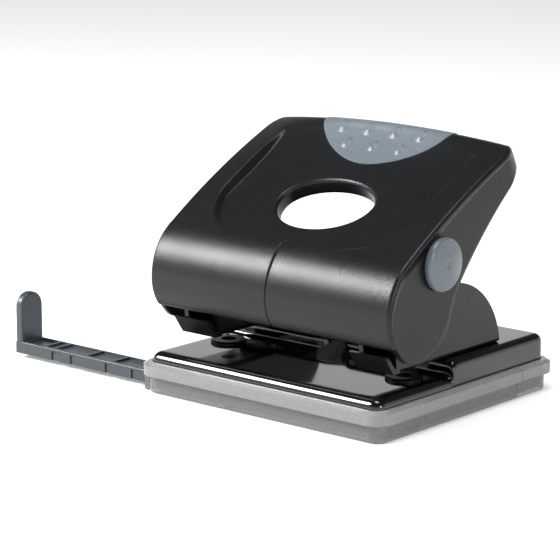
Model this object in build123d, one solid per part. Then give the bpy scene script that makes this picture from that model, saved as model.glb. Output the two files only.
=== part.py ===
from build123d import *
import math
import os

# Two-hole desk paper punch, each physical piece written as its own STEP file.
# Frame: origin on the desk midway between the two punched holes, +X right along the row of
# holes, +Y to the rear, +Z up. All sizes are millimetres.

# ---- driving dimensions -------------------------------------------------------------------
HOLE_SPACING = 80.0         # between the punched holes
HOLE_TO_STOP = 12.0         # from a hole's centre to the paper's edge
PIN_R = 2.75                # punched holes are 5.5 mm across
RUNNING_GAP = 0.08          # radial clearance of a shaft in its hole
FIT_GAP = 0.05              # radial clearance between pieces that are fastened together
FREE_GAP = 0.3              # between faces of pieces that move apart

# pressed base plate
PLATE_HALF_WIDTH = 52.2
PLATE_FRONT = -29.1
PLATE_REAR = 66.6
PLATE_FOOT_Z = 7.4
TABLE_Z = 14.8              # where the paper lies
PLATFORM_Z = 20.4           # behind the paper stop
PLATE_THICK = 1.5
PLATE_CORNER_R = 3.7
PLATE_EDGE_R = 3.4
STOP_FOOT_R = 1.2

# chip tray under the plate
TRAY_WALL_OUT = 1.1         # the tray's wall stands this far outside the plate's skirt
TRAY_WALL = 2.2
TRAY_FLOOR = 1.4
RIM_OUT = 3.3               # the rim's outer face, outside the plate's skirt
RIM_LOW_Z = 6.6
RIM_SHOULDER_Z = 10.4
RIM_TOP_Z = 11.3
LEDGE_Z = PLATE_FOOT_Z - FREE_GAP
TRAY_CORNER_R = 4.6
HINGE_Y = 48.0              # living hinge across the tray's floor
RIB = 1.2

# folded brackets
BRACKET_HALF_WIDTH = 7.9
SHEET = 1.8
BRACKET_FRONT = -15.8
LIP_TOP = (-20.3, 27.0)     # y, z of the flared lip's edge
EYE_R = 7.0
SECTOR_CENTRE = (15.5, 17.0)
SECTOR_R = 29.3

# lever
PIVOT = (-9.0, 41.0)        # y, z of the axle
AXLE_R = 3.0
BULB_R = 17.1               # the cover's round front, centred on the axle
COVER_HALF_WIDTH = 54.0
COVER_WALL = 2.4
PRESS_ANGLE = 28.0
BAR_CENTRE = (1.3, 56.4)    # y, z of the presser bar
BAR_R = 3.0
CAP_R = 10.0
CAP_THICK = 4.0
DECK_ORIGIN = (0.0, -14.2, 61.1)
DECK_SLOPE = 27.34          # slope of the lever's top, degrees
CREST_LIFT = 3.3            # the cover's rear is arched: its middle is turned up by this, degrees
FRAME_SHEET = 1.6
FRAME_DEPTH = 6.9           # of the steel frame's web under the deck's chord
ARM_X = (48.3, 49.9)

# paper guide
GUIDE_Y = (-25.5, -14.5)
GUIDE_Z = (1.8, 6.3)
GUIDE_STOP_X = -121.0       # the face that the paper's side meets
GUIDE_INNER_X = -13.0

HOLE_X = HOLE_SPACING / 2
PIN_TIP_Z = PLATFORM_Z + 0.5
DIE_TOP_Z = TABLE_Z + 1.2
HEAD_THICK = 2.9
HEAD_TOP_Z = BAR_CENTRE[1] - BAR_R - 0.1
HEAD_LOW_Z = HEAD_TOP_Z - HEAD_THICK
WEB_TOP_Z = PLATFORM_Z + SHEET
SEAT_THICK = 0.8
SPRING_LOW_Z = WEB_TOP_Z + SEAT_THICK
SPRING_WIRE_R = 0.55
SPRING_R = 4.2
RIVET_R = 2.5
RIVET_YS = (22.0, 36.0)


# ---- drawing aids -------------------------------------------------------------------------
def along_x(face, x_low, x_high):
    """A side view drawn in (y, z), given its length from x_low to x_high."""
    return extrude(Plane.YZ.offset(x_low) * face, x_high - x_low)


def rod_x(centre, radius, x_low, x_high):
    """A round bar parallel to X."""
    return along_x(Pos(*centre) * Circle(radius), x_low, x_high)


def rod_z(x, y, radius, z_low, z_high):
    """A round bar parallel to Z."""
    return extrude(Plane.XY.offset(z_low) * Pos(x, y) * Circle(radius), z_high - z_low)


def block(xs, ys, zs):
    """A box between the two corners that the three pairs give."""
    middle = ((xs[0] + xs[1]) / 2, (ys[0] + ys[1]) / 2, (zs[0] + zs[1]) / 2)
    return Pos(*middle) * Box(xs[1] - xs[0], ys[1] - ys[0], zs[1] - zs[0])


def footprint(grow, corner_r):
    """The plate's outline from above, drawn out by grow."""
    width = 2 * (PLATE_HALF_WIDTH + grow)
    depth = PLATE_REAR - PLATE_FRONT + 2 * grow
    return Pos(0, (PLATE_FRONT + PLATE_REAR) / 2) * RectangleRounded(width, depth, corner_r)


def slab(grow, corner_r, z_low, z_high):
    """The footprint, drawn out by grow, between two heights."""
    return extrude(Plane.XY.offset(z_low) * footprint(grow, corner_r), z_high - z_low)


def on_deck(x, along, height):
    """A point given along and above the lever's sloping top."""
    slope = math.radians(DECK_SLOPE)
    y = DECK_ORIGIN[1] + along * math.cos(slope) - height * math.sin(slope)
    z = DECK_ORIGIN[2] + along * math.sin(slope) + height * math.cos(slope)
    return (x, y, z)


def deck_prism(face, low, high):
    """An outline drawn on the lever's top as (x, along), cut between two heights over it."""
    slope = math.radians(DECK_SLOPE)
    up = (0, -math.sin(slope), math.cos(slope))
    deck = Plane(origin=DECK_ORIGIN, x_dir=(1, 0, 0), z_dir=up)
    return extrude(deck.offset(low) * face, high - low)


def polar(centre, radius, degrees):
    """A point on a circle."""
    angle = math.radians(degrees)
    return (centre[0] + radius * math.cos(angle), centre[1] + radius * math.sin(angle))


def mirrored(shape):
    """The same piece for the other side."""
    return mirror(shape, about=Plane.YZ)


# ---- base ---------------------------------------------------------------------------------
def pan(inset, z_foot):
    """The base plate's outside, or with an inset the space under its sheet."""
    rear_edge_r = PLATE_EDGE_R + 1.0 - inset
    stop = HOLE_TO_STOP + inset
    side_view = Polyline(
        (PLATE_FRONT + inset, z_foot),
        (PLATE_REAR - inset, z_foot),
        (PLATE_REAR - inset, PLATFORM_Z - inset),
        (stop, PLATFORM_Z - inset),
        (stop, TABLE_Z - inset),
        (PLATE_FRONT + inset, TABLE_Z - inset),
        close=True,
    )
    half = PLATE_HALF_WIDTH - inset
    solid = along_x(make_face(side_view), -half, half)
    uprights = solid.edges().filter_by(Axis.Z)
    corners = [e for e in uprights if abs(e.center().Y - stop) > 1]
    solid = fillet(corners, PLATE_CORNER_R - inset)
    stop_edges = [e for e in solid.edges().filter_by(Axis.X) if abs(e.center().Y - stop) < 0.1]
    solid = fillet(stop_edges, STOP_FOOT_R)
    table = [e for e in solid.edges() if abs(e.center().Z - (TABLE_Z - inset)) < 0.05
             and e.center().Y < stop - 2 and e.bounding_box().size.Z < 0.05
             and e.bounding_box().max.Y < stop - 1.0]
    solid = fillet(table, PLATE_EDGE_R - inset)
    return solid, rear_edge_r


def base_plate():
    """Pressed steel pan: the paper table, the stop behind it and the bracket platform."""
    outside, _ = pan(0.0, PLATE_FOOT_Z)
    inside, _ = pan(PLATE_THICK, PLATE_FOOT_Z - 1.0)
    plate = outside - inside
    for side in (-1, 1):
        x = side * HOLE_X
        plate -= rod_z(x, 0, DIE_SHANK_R + FIT_GAP, TABLE_Z - 5, TABLE_Z + 5)
        for y in RIVET_YS:
            plate -= rod_z(x, y, RIVET_R + FIT_GAP, PLATFORM_Z - 5, PLATFORM_Z + 5)
    return plate


DIE_SHANK_R = 4.8
DIE_FLANGE_R = 6.5
DIE_LOW_Z = 11.2


def die():
    """Hardened bush under a pin: a low collar on the table, its bore widening below the edge."""
    body = rod_z(HOLE_X, 0, DIE_FLANGE_R, TABLE_Z, DIE_TOP_Z)
    body = chamfer(body.edges().group_by(Axis.Z)[-1], 0.5)
    body += rod_z(HOLE_X, 0, DIE_SHANK_R, DIE_LOW_Z, TABLE_Z)
    body -= rod_z(HOLE_X, 0, PIN_R + RUNNING_GAP, DIE_LOW_Z - 1, DIE_TOP_Z + 1)
    body -= rod_z(HOLE_X, 0, PIN_R + 0.6, DIE_LOW_Z - 1, DIE_TOP_Z - 3)
    return body


def cheek_outline():
    """Side view of a bracket: an eye round the axle, a saddle, then the tall round rear."""
    front_low = (BRACKET_FRONT + 1.8, PLATFORM_Z)
    eye_front = polar(PIVOT, EYE_R, 180)
    eye_top = polar(PIVOT, EYE_R, 105)
    eye_rear = polar(PIVOT, EYE_R, 30)
    rise = polar(SECTOR_CENTRE, SECTOR_R, 115)
    crest = polar(SECTOR_CENTRE, SECTOR_R, 60)
    drop = math.asin((PLATFORM_Z - SECTOR_CENTRE[1]) / SECTOR_R)
    rear_low = polar(SECTOR_CENTRE, SECTOR_R, math.degrees(drop))
    edges = (
        Line(front_low, eye_front)
        + ThreePointArc(eye_front, eye_top, eye_rear)
        + Line(eye_rear, rise)
        + ThreePointArc(rise, crest, rear_low)
        + Line(rear_low, front_low)
    )
    return make_face(edges)


def bracket():
    """Folded steel channel: flat web over the paper, two cheeks, a flared lip in front."""
    low_x = HOLE_X - BRACKET_HALF_WIDTH
    high_x = HOLE_X + BRACKET_HALF_WIDTH
    body = along_x(cheek_outline(), low_x, high_x)
    folds = [e for e in body.edges().filter_by(Axis.Y) if e.center().Z < PLATFORM_Z + 0.1]
    body = fillet(folds, SHEET)
    channel = block((low_x + SHEET, high_x - SHEET), (-40, 60), (WEB_TOP_Z, 70))
    body -= channel
    lip_low = (BRACKET_FRONT, PLATFORM_Z)
    lip_side = Polyline(
        (BRACKET_FRONT + 3.5, PLATFORM_Z),
        lip_low,
        LIP_TOP,
        (LIP_TOP[0] + SHEET, LIP_TOP[1]),
        (BRACKET_FRONT + 0.9, WEB_TOP_Z),
        (BRACKET_FRONT + 3.5, WEB_TOP_Z),
        close=True,
    )
    lip = along_x(make_face(lip_side), low_x, high_x)
    body += lip
    body -= rod_x(PIVOT, AXLE_R + FIT_GAP, low_x - 1, high_x + 1)
    body -= rod_z(HOLE_X, 0, PIN_R + RUNNING_GAP, PLATFORM_Z - 1, WEB_TOP_Z + 1)
    for y in RIVET_YS:
        body -= rod_z(HOLE_X, y, RIVET_R + FIT_GAP, PLATFORM_Z - 1, WEB_TOP_Z + 1)
    return body


def rivet(x, y):
    """Domed rivet through a bracket's web and the platform, spread below."""
    head = rod_z(x, y, RIVET_R * 1.7, WEB_TOP_Z, WEB_TOP_Z + 1.6)
    head = fillet(head.edges().group_by(Axis.Z)[-1], 1.2)
    below = PLATFORM_Z - PLATE_THICK
    tail = rod_z(x, y, RIVET_R * 1.5, below - 1.1, below)
    tail = chamfer(tail.edges().group_by(Axis.Z)[0], 0.4)
    return head + rod_z(x, y, RIVET_R, below, WEB_TOP_Z) + tail


def bracket_rivets():
    """The four rivets that hold the brackets down."""
    return Compound([rivet(side * HOLE_X, y).solid() for side in (-1, 1) for y in RIVET_YS])


AXLE_HALF_LENGTH = 51.2
CLIP_X = (50.05, 50.75)
CLIP_GROOVE_R = 2.2


def pivot_axle():
    """One long axle through both brackets, grooved near its ends for the clips."""
    axle = rod_x(PIVOT, AXLE_R, -AXLE_HALF_LENGTH, AXLE_HALF_LENGTH)
    axle = chamfer(axle.edges().filter_by(GeomType.CIRCLE), 0.3)
    for xs in (CLIP_X, (-CLIP_X[1], -CLIP_X[0])):
        groove = rod_x(PIVOT, AXLE_R + 1, *xs) - rod_x(PIVOT, CLIP_GROOVE_R, *xs)
        axle -= groove
    return axle


def axle_clip():
    """Open spring clip that snaps into an axle groove."""
    ring = Circle(4.6) - Circle(CLIP_GROOVE_R + FIT_GAP)
    ring -= Pos(0, -4) * Rectangle(2.9, 8)
    for degrees in (35, 145):
        ring -= Pos(*polar((0, 0), 3.3, degrees)) * Circle(0.7)
    return along_x(Pos(*PIVOT) * ring, *CLIP_X)


def spring_seats():
    """Flat washers that keep the springs off the bracket webs."""
    seats = []
    for side in (-1, 1):
        seat = rod_z(side * HOLE_X, 0, 5.4, WEB_TOP_Z, SPRING_LOW_Z)
        seat -= rod_z(side * HOLE_X, 0, PIN_R + 0.4, WEB_TOP_Z - 1, SPRING_LOW_Z + 1)
        seats.append(seat.solid())
    return Compound(seats)


# ---- pins and springs ---------------------------------------------------------------------
STUB_R = 1.9
HEAD_WIDTH = 11.0
HEAD_YS = (-6.2, 10.3)


def punch_pin():
    """Hardened pin with a saddle-ground tip and a riveted stub on top."""
    pin = rod_z(HOLE_X, 0, PIN_R, PIN_TIP_Z, HEAD_LOW_Z)
    pin += rod_z(HOLE_X, 0, STUB_R, HEAD_LOW_Z, HEAD_TOP_Z - 0.4)
    saddle = rod_x((0, PIN_TIP_Z - 3.6), 4.2, HOLE_X - 5, HOLE_X + 5)
    return pin - saddle


def pin_head():
    """Oblong cap riveted on the pin: the presser bar slides along its flat top."""
    length = HEAD_YS[1] - HEAD_YS[0]
    outline = Pos(HOLE_X, (HEAD_YS[0] + HEAD_YS[1]) / 2) * RectangleRounded(
        HEAD_WIDTH, length, HEAD_WIDTH / 2 - 0.1)
    head = extrude(Plane.XY.offset(HEAD_LOW_Z) * outline, HEAD_THICK)
    head = fillet(head.edges().group_by(Axis.Z)[-1], 0.5)
    return head - rod_z(HOLE_X, 0, STUB_R + FIT_GAP, HEAD_LOW_Z - 1, HEAD_TOP_Z + 1)


END_TURNS = 1               # closer turns at each end
MIDDLE_TURNS = 6
END_PITCH = 1.75


def spring_height(turns):
    """Height of the spring's wire after so many turns, counted from its lower end."""
    top = HEAD_LOW_Z - SPRING_LOW_Z - 2 * SPRING_WIRE_R - 0.1
    middle_pitch = (top - 2 * END_TURNS * END_PITCH) / MIDDLE_TURNS
    if turns <= END_TURNS:
        return turns * END_PITCH
    if turns <= END_TURNS + MIDDLE_TURNS:
        return END_TURNS * END_PITCH + (turns - END_TURNS) * middle_pitch
    return top - (2 * END_TURNS + MIDDLE_TURNS - turns) * END_PITCH


def spring_point(turns):
    """A point on the middle of the spring's wire."""
    angle = 2 * math.pi * turns
    low = SPRING_LOW_Z + SPRING_WIRE_R + 0.05
    return Vector(HOLE_X + SPRING_R * math.cos(angle), SPRING_R * math.sin(angle),
                  low + spring_height(turns))


def return_spring():
    """Helical compression spring round the pin, one tube on arcs of a quarter turn."""
    steps = 4 * (2 * END_TURNS + MIDDLE_TURNS)
    edges = []
    start = spring_point(0)
    tangent = spring_point(0.001) - start
    for k in range(steps):
        arc = Edge.make_tangent_arc(start, tangent, spring_point((k + 1) / 4))
        edges.append(arc)
        start = arc @ 1
        tangent = arc % 1
    path = Wire(edges)
    section = Plane(origin=path @ 0, z_dir=path % 0) * Circle(SPRING_WIRE_R)
    return sweep(section, path=path)


def spring_self_gap():
    """Least space between neighbouring turns, from points along the wire."""
    turns = 2 * END_TURNS + MIDDLE_TURNS
    points = [spring_point(k / 24) for k in range(24 * turns + 1)]
    gaps = [(a - b).length for i, a in enumerate(points) for b in points[i + 16:]]
    return min(gaps) - 2 * SPRING_WIRE_R


# ---- chip tray and paper guide ------------------------------------------------------------
def whole_tray():
    """The tray as moulded: floor, thin walls, a thick rim with a sloping shoulder."""
    wall_r = TRAY_CORNER_R
    rim_r = TRAY_CORNER_R + RIM_OUT - TRAY_WALL_OUT
    body = slab(TRAY_WALL_OUT, wall_r, 0, LEDGE_Z)
    body = chamfer(body.edges().group_by(Axis.Z)[0], 0.6)
    rim = slab(RIM_OUT, rim_r, RIM_LOW_Z, RIM_TOP_Z)
    rim = chamfer(rim.edges().group_by(Axis.Z)[-1], RIM_TOP_Z - RIM_SHOULDER_Z, 1.6)
    body += rim
    inner_r = wall_r - TRAY_WALL
    body -= slab(TRAY_WALL_OUT - TRAY_WALL, inner_r, TRAY_FLOOR, RIM_TOP_Z + 1)
    body -= slab(FREE_GAP, PLATE_CORNER_R + FREE_GAP, LEDGE_Z, RIM_TOP_Z + 1)
    return body


CHANNEL_GAP = 0.3
RAIL_X = (-51.0, -15.6)
RIB_END_X = (-16.2, -15.0)
RIB_TOP_Z = 9.5
PARTITION_Y = -4.9
LIP_OUT = 1.8


def chip_tray():
    """Front part of the tray: it swings down about the living hinge; the guide slides in it."""
    tray = whole_tray() & block((-70, 70), (-50, HINGE_Y - 0.15), (-1, 20))
    rail_low = GUIDE_Y[0] - CHANNEL_GAP
    rail_high = GUIDE_Y[1] + CHANNEL_GAP
    floor_z = TRAY_FLOOR - 0.2
    skirt_gap = PLATE_THICK + FREE_GAP
    tray += block(RAIL_X, (rail_low - RIB, rail_low), (floor_z, GUIDE_Z[1]))
    tray += block(RAIL_X, (rail_high, rail_high + RIB), (floor_z, GUIDE_Z[1]))
    roof_z = (GUIDE_Z[1] + CHANNEL_GAP, GUIDE_Z[1] + CHANNEL_GAP + 1.0)
    roof_x = (-50.2, -42.8)
    tray += block(roof_x, (rail_low - RIB, rail_high + RIB), roof_z)
    for y in (rail_low - RIB, rail_high):
        tray += block(roof_x, (y, y + RIB), (GUIDE_Z[1] - 0.5, roof_z[1]))
    tray += block(RIB_END_X, (-29.0, PARTITION_Y), (floor_z, LEDGE_Z))
    tray += block(RIB_END_X, (PLATE_FRONT + skirt_gap + RIB, PARTITION_Y), (floor_z, RIB_TOP_Z))
    tray -= block((-17, -14), (rail_low, rail_high), (floor_z - 1, 8.2))
    across = (PARTITION_Y - RIB / 2, PARTITION_Y + RIB / 2)
    inner_x = PLATE_HALF_WIDTH - skirt_gap
    tray += block((-51.5, 51.5), across, (floor_z, LEDGE_Z))
    tray += block((-inner_x, inner_x), across, (floor_z, RIB_TOP_Z))
    wall_x = -PLATE_HALF_WIDTH - TRAY_WALL_OUT
    for ys in ((rail_low - 2.4, rail_low), (rail_high, rail_high + 2.4)):
        tray += block((wall_x - LIP_OUT, wall_x + 0.5), ys, (0.3, RIM_LOW_Z + 0.3))
    slot_x = (wall_x - 3, RAIL_X[0] + 1)
    slot_z = (GUIDE_Z[0] - CHANNEL_GAP, GUIDE_Z[1] + CHANNEL_GAP)
    tray -= block(slot_x, (rail_low, rail_high), slot_z)
    return tray


def tray_rear_clip():
    """Rear end of the tray: it stays on the plate, its inner rib grips the skirt."""
    clip = whole_tray() & block((-70, 70), (HINGE_Y + 0.15, 80), (-1, 20))
    skirt_inside = PLATE_REAR - PLATE_THICK
    clip += block((-47, 47), (skirt_inside - RIB - FIT_GAP, skirt_inside - FIT_GAP), (1.2, 13))
    clip += block((-51.5, 51.5), (55.4, 56.6), (1.2, 7.0))
    clip += slab(RIM_OUT - 1, TRAY_CORNER_R, RIM_LOW_Z, LEDGE_Z + FREE_GAP) \
        & block((-70, 70), (HINGE_Y + 0.15, 80), (-1, 20)) \
        - slab(TRAY_WALL_OUT - TRAY_WALL, TRAY_CORNER_R - TRAY_WALL, 0, 20)
    return clip


GUIDE_TAB_X = (GUIDE_STOP_X - 3.4, GUIDE_STOP_X)
TAB_TOP_Z = 24.6
GUIDE_WINDOWS = ((-119.5, -110.8), (-109.6, -105.6), (-104.4, -89.2), (-88.0, -75.8),
                 (-74.6, -60.0), (-58.8, -45.0), (-43.8, -30.0))
GUIDE_NOTCHES = ((-105.5, -101.3), (-95.8, -93.2), (-77.8, -75.2), (-64.6, -62.8))


def paper_guide():
    """Slide with an upright round-topped stop, shallow windows on top and notches in front."""
    width = GUIDE_Y[1] - GUIDE_Y[0]
    bar = block((GUIDE_TAB_X[0], GUIDE_INNER_X), GUIDE_Y, GUIDE_Z)
    bar = fillet([e for e in bar.edges().filter_by(Axis.X) if e.center().Z > GUIDE_Z[1] - 0.1], 0.6)
    for xs in GUIDE_WINDOWS:
        bar -= block(xs, (GUIDE_Y[0] + 1.3, GUIDE_Y[1] - 1.3), (GUIDE_Z[1] - 0.8, GUIDE_Z[1] + 1))
    for xs in GUIDE_NOTCHES:
        bar -= block(xs, (GUIDE_Y[0] - 1, GUIDE_Y[0] + 0.5), (GUIDE_Z[0] - 1, GUIDE_Z[1] - 1.0))
    tab_r = width / 2
    middle = (GUIDE_Y[0] + GUIDE_Y[1]) / 2
    shank = Pos(middle, (GUIDE_Z[0] + TAB_TOP_Z - tab_r) / 2) * Rectangle(
        width, TAB_TOP_Z - tab_r - GUIDE_Z[0])
    tab = along_x(shank + Pos(middle, TAB_TOP_Z - tab_r) * Circle(tab_r), *GUIDE_TAB_X)
    tab = fillet(tab.edges().group_by(Axis.X)[0] + tab.edges().group_by(Axis.X)[-1], 0.8)
    stop = block((GUIDE_INNER_X - 2, GUIDE_INNER_X), (GUIDE_Y[0] + 2, GUIDE_Y[1] - 2),
                 (GUIDE_Z[1] - 1, GUIDE_Z[1] + 1.2))
    return bar + tab + stop


# ---- lever --------------------------------------------------------------------------------
TOP_MIDDLE = (29.0, 1.9)    # along and above the deck's chord
DISH_ARC = ((-9.0, 2.6), (29.0, -0.9), (67.0, 2.6))
DISH_WIDTH = 87.0
DISH_CORNER_R = 15.0
END_CENTRE = (44.2, 84.4)
END_R = 6.3
FRONT_R = 22.0
BACK_START = (14.6, 47.0)


def deck_point(along, height):
    """A point of the lever's side view, given along and above its sloping top."""
    return on_deck(0, along, height)[1:]


def cover_outline():
    """Side view of the cover: bulb on the axle, long top, small round rear end, straight back."""
    bulb_front = polar(PIVOT, BULB_R, 180)
    bulb_low = polar(PIVOT, BULB_R, 262)
    bulb_rear = polar(PIVOT, BULB_R, -17.5)
    front_centre = (bulb_front[0] + FRONT_R, PIVOT[1])
    front_middle = polar(front_centre, FRONT_R, 149)
    front_end = polar(front_centre, FRONT_R, 118.7)
    top_end = polar(END_CENTRE, END_R, 113)
    end_middle = polar(END_CENTRE, END_R, 34)
    back_end = polar(END_CENTRE, END_R, -46)
    edges = (
        ThreePointArc(bulb_front, bulb_low, bulb_rear)
        + ThreePointArc(bulb_rear, (10.4, 42.1), BACK_START)
        + Line(BACK_START, back_end)
        + ThreePointArc(back_end, end_middle, top_end)
        + ThreePointArc(top_end, deck_point(*TOP_MIDDLE), front_end)
        + ThreePointArc(front_end, front_middle, bulb_front)
    )
    return make_face(edges)


def arched(face, half_width):
    """The side view carried across the width, turned up a little about the axle in the middle."""
    sections = []
    for part in (-1.0, -0.5, 0.0, 0.5, 1.0):
        x = part * half_width
        lift = CREST_LIFT * (1 - (x / COVER_HALF_WIDTH) ** 2)
        turned = Pos(*PIVOT) * Rot(0, 0, lift) * Pos(-PIVOT[0], -PIVOT[1]) * face
        sections.append(Plane.YZ.offset(x) * turned)
    return loft(sections)


EGG_MIDDLE = 21.3
EGG_HALF = (19.8, 13.6)     # half width, half length
EGG_POINTS = ((0, -13.6), (12.8, -8.7), (19.8, 0.9), (13.5, 10.7), (0, 13.6))


def egg(grow):
    """Outline of the finger opening on the deck, drawn out by grow."""
    wide = 1 + grow / EGG_HALF[0]
    long = 1 + grow / EGG_HALF[1]
    right = [(x * wide, EGG_MIDDLE + y * long) for x, y in EGG_POINTS]
    left = [(-x, along) for x, along in right]
    across = ((1, 0), (-1, 0))
    return make_face(Spline(*right, tangents=across) + Spline(*left, tangents=across[::-1]))


def dish_space(grow, drop):
    """What the dish takes from the top, or with a wall's size the same form further in."""
    panel = Pos(0, 29) * Rectangle(DISH_WIDTH, 66)
    panel = fillet(panel.vertices().group_by(Axis.Y)[0], DISH_CORNER_R)
    panel = offset(panel, grow) if grow else panel
    front, middle, rear = [deck_point(along, height - drop) for along, height in DISH_ARC]
    side_view = ThreePointArc(front, middle, rear) + Polyline(
        rear, deck_point(DISH_ARC[2][0], 25), deck_point(DISH_ARC[0][0], 25), front)
    return arched(make_face(side_view), COVER_HALF_WIDTH + 4) & deck_prism(panel, -12, 22)


def pad_area():
    """Outline of the grip pad on the deck, open to the rear."""
    edge = Spline((-34, 75), (-31.5, 65), (-26.0, 55.0), (0, 43.6), (26.0, 55.0), (31.5, 65), (34, 75))
    return make_face(edge + Line((34, 75), (-34, 75)))


def plan_area(inset):
    """The cover from above its deck: the rear corners are round."""
    half = COVER_HALF_WIDTH - inset
    area = Pos(0, (71.5 - 50) / 2) * Rectangle(2 * half, 71.5 + 50)
    return fillet(area.vertices().group_by(Axis.Y)[-1], 12 - inset)


def cover_cavity():
    """The hollow under the deck, open below and behind."""
    inner = offset(cover_outline(), -COVER_WALL)
    way_out = make_face(Polyline(
        polar(PIVOT, BULB_R - COVER_WALL, 217),
        polar(PIVOT, BULB_R + 3, 217),
        (-10, 5),
        (75, 30),
        polar(END_CENTRE, 20, -33),
        END_CENTRE,
        (5, 50),
        close=True,
    ))
    half = COVER_HALF_WIDTH - COVER_WALL
    hollow = arched(inner, half) + along_x(way_out, -half, half)
    hollow &= deck_prism(plan_area(COVER_WALL), -80, 20)
    return hollow - dish_space(COVER_WALL, COVER_WALL)


SCREW_SPOTS = ((-38.0, 7.5), (38.0, 7.5), (-37.0, 46.0), (37.0, 46.0))
HUB_R = 4.6
PAD_DEPTH = 1.4
PAD_PROUD = 0.35
BOSS_R = 3.4
BOSS_TOP = -0.3


def cover_shell():
    """The cover's outside as one closed form, dished between the crescents."""
    outside = arched(cover_outline(), COVER_HALF_WIDTH) & deck_prism(plan_area(0), -80, 20)
    return outside - dish_space(0, 0)


def lever_cover():
    """Moulded shell over the steel frame."""
    outside = cover_shell()
    cover = outside - cover_cavity()
    collar = deck_prism(egg(2.2), -6.5, 20) & outside
    cover += collar
    for x, along in SCREW_SPOTS:
        boss = deck_prism(Pos(x, along) * Circle(BOSS_R), FRAME_SHEET - FRAME_DEPTH, BOSS_TOP)
        cover += boss
        cover -= deck_prism(Pos(x, along) * Circle(1.35), -FRAME_DEPTH, -2.2)
    cover -= deck_prism(egg(0), -20, 30)
    cover -= pad_column() - pad_bed()
    for side in (-1, 1):
        xs = sorted((side * 40, side * 60))
        cover -= rod_x(BAR_CENTRE, HUB_R + FIT_GAP, *xs)
    ring = Pos(*PIVOT) * (Circle(BULB_R + 2) - Circle(BULB_R - 0.45))
    cover -= along_x(ring & Pos(-24, 39) * Rectangle(12, 14), -0.35, 0.35)
    return cover


def pad_bed():
    """The cover's form under the pad."""
    bed = arched(offset(cover_outline(), -PAD_DEPTH), COVER_HALF_WIDTH + 4)
    return bed - dish_space(PAD_DEPTH, PAD_DEPTH)


def pad_column():
    """The pad's outline carried through the deck, down to the middle of the round rear end."""
    return deck_prism(pad_area(), -3.2, 12)


BUMP_ROWS = ((52.5, (-12.0, 0.0, 12.0)), (60.5, (-18.0, -6.0, 6.0, 18.0)))


def grip_pad():
    """Soft insert in the lever's rear, with drop-shaped bumps."""
    skin = arched(offset(cover_outline(), PAD_PROUD), COVER_HALF_WIDTH + 4)
    pad = pad_column() & (skin - dish_space(0, -PAD_PROUD))
    for along, xs in BUMP_ROWS:
        for x in xs:
            lift = 4.9 - 4.2 * (x / COVER_HALF_WIDTH) ** 2 - 0.03 * (60 - along)
            centre = on_deck(x, along, lift - 1.9)
            pad += Pos(*centre) * Rot(DECK_SLOPE, 0, 0) * Sphere(2.4)
    return pad - pad_bed()


def web_area():
    """Outline of the steel frame's web on the deck, holed round the finger opening."""
    area = Pos(0, 31) * Rectangle(2 * ARM_X[1], 54)
    area = fillet(area.vertices().group_by(Axis.Y)[-1], 8)
    return area - egg(3.4)


def lever_frame():
    """Folded steel lever: a web under the deck and two arms down to the axle."""
    low = -FRAME_DEPTH
    web = deck_prism(web_area(), low, low + FRAME_SHEET)
    web_front = on_deck(0, 4, low + FRAME_SHEET)[1:]
    web_rear = on_deck(0, 50, low + FRAME_SHEET)[1:]
    eye = Pos(*PIVOT) * Circle(EYE_R + 0.5)
    arm_side = make_face(Polyline(
        polar(PIVOT, EYE_R + 0.5, 175),
        web_front,
        web_rear,
        on_deck(0, 50, low)[1:],
        (14, 52),
        polar(PIVOT, EYE_R + 0.5, -40),
        close=True,
    ))
    arm_side += eye
    frame = web
    for xs in (ARM_X, (-ARM_X[1], -ARM_X[0])):
        frame += along_x(arm_side, *xs)
    frame -= rod_x(PIVOT, AXLE_R + RUNNING_GAP, -60, 60)
    frame -= rod_x(BAR_CENTRE, BAR_R + FIT_GAP, -60, 60)
    for x, along in SCREW_SPOTS:
        frame -= deck_prism(Pos(x, along) * Circle(1.7), low - 1, low + 3)
    return frame


def cover_screws():
    """Four pan-head screws up through the web into the cover's bosses."""
    screws = []
    for x, along in SCREW_SPOTS:
        spot = Pos(x, along)
        head = deck_prism(spot * Circle(2.8), -FRAME_DEPTH - 1.6, -FRAME_DEPTH)
        shank = deck_prism(spot * Circle(1.3), -FRAME_DEPTH, -2.5)
        screws.append((head + shank).solid())
    return Compound(screws)


def presser_bar():
    """Round bar across the lever; it bears on both pin heads."""
    bar = rod_x(BAR_CENTRE, BAR_R, -56.4, 56.4)
    return chamfer(bar.edges().filter_by(GeomType.CIRCLE), 0.4)


def cap():
    """Domed cap on the lever's right side, its hub over the presser bar's end."""
    face_x = COVER_HALF_WIDTH
    disc = rod_x(BAR_CENTRE, CAP_R, face_x, face_x + CAP_THICK)
    disc = fillet(disc.edges().group_by(Axis.X)[-1], 2.2)
    hub = rod_x(BAR_CENTRE, HUB_R, face_x - COVER_WALL + 0.3, face_x)
    disc += hub
    disc -= rod_x(BAR_CENTRE, BAR_R + FIT_GAP, face_x - 5, 56.5)
    return disc - Pos(face_x + CAP_THICK + 1.9, *BAR_CENTRE) * Sphere(2.6)


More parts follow.
